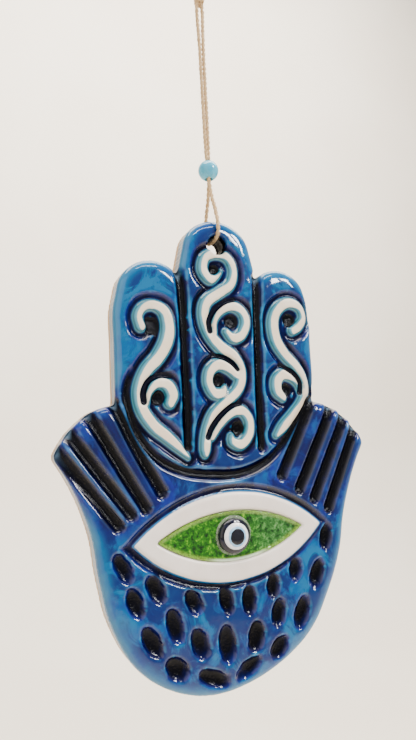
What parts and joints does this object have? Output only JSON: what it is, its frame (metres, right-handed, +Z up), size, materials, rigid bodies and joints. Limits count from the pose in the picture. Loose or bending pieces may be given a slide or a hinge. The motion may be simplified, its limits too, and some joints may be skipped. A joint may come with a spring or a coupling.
{
  "type": "hamsa hand ornament",
  "caption": "Glazed ceramic hamsa hand with carved scrolls and a fused glass eye, hung by a loop of twine with a turquoise bead.",
  "frame": {"origin": "axis of the hook that the twine loop hangs on, inside the loop's top, level with the middle of the plaque's thickness", "axes": "+Z up along the hanging twine, +Y from the decorated face towards the flat back, +X to the viewer's right"},
  "size_m": [0.123, 0.0149, 0.273],
  "materials": {
    "glaze": "glossy blue glaze, bare cream clay on the scrolls, the eye and the back",
    "green_glass": "crackled and fused, glossy",
    "glue": "clear, glossy",
    "navy_glass": "opaque, polished",
    "white_glass": "opaque, polished",
    "light_blue_glass": "opaque, polished",
    "dark_glass": "opaque, polished",
    "turquoise_glass": "opaque, smooth",
    "jute": "twisted natural fibre"
  },
  "bodies": {
    "twine": {"twine": "jute", "knot": "jute"},
    "hand": {"hand": "glaze", "eye_glass": "green_glass", "bead_glue": "glue", "evil_eye_base": "navy_glass", "evil_eye_white": "white_glass", "evil_eye_blue": "light_blue_glass", "evil_eye_pupil": "dark_glass"},
    "bead": {"turquoise_bead": "turquoise_glass"}
  },
  "joints": [
    {"name": "hand_swing", "type": "hinge", "parent": "twine", "child": "hand", "pos_m": [0, 0, -0.0985], "axis": [0, 1, 0], "range_deg": [-20, 20]},
    {"name": "bead_slide", "type": "slide", "parent": "twine", "child": "bead", "axis": [0, 0, 1], "range_m": [0, 0.045]}
  ]
}
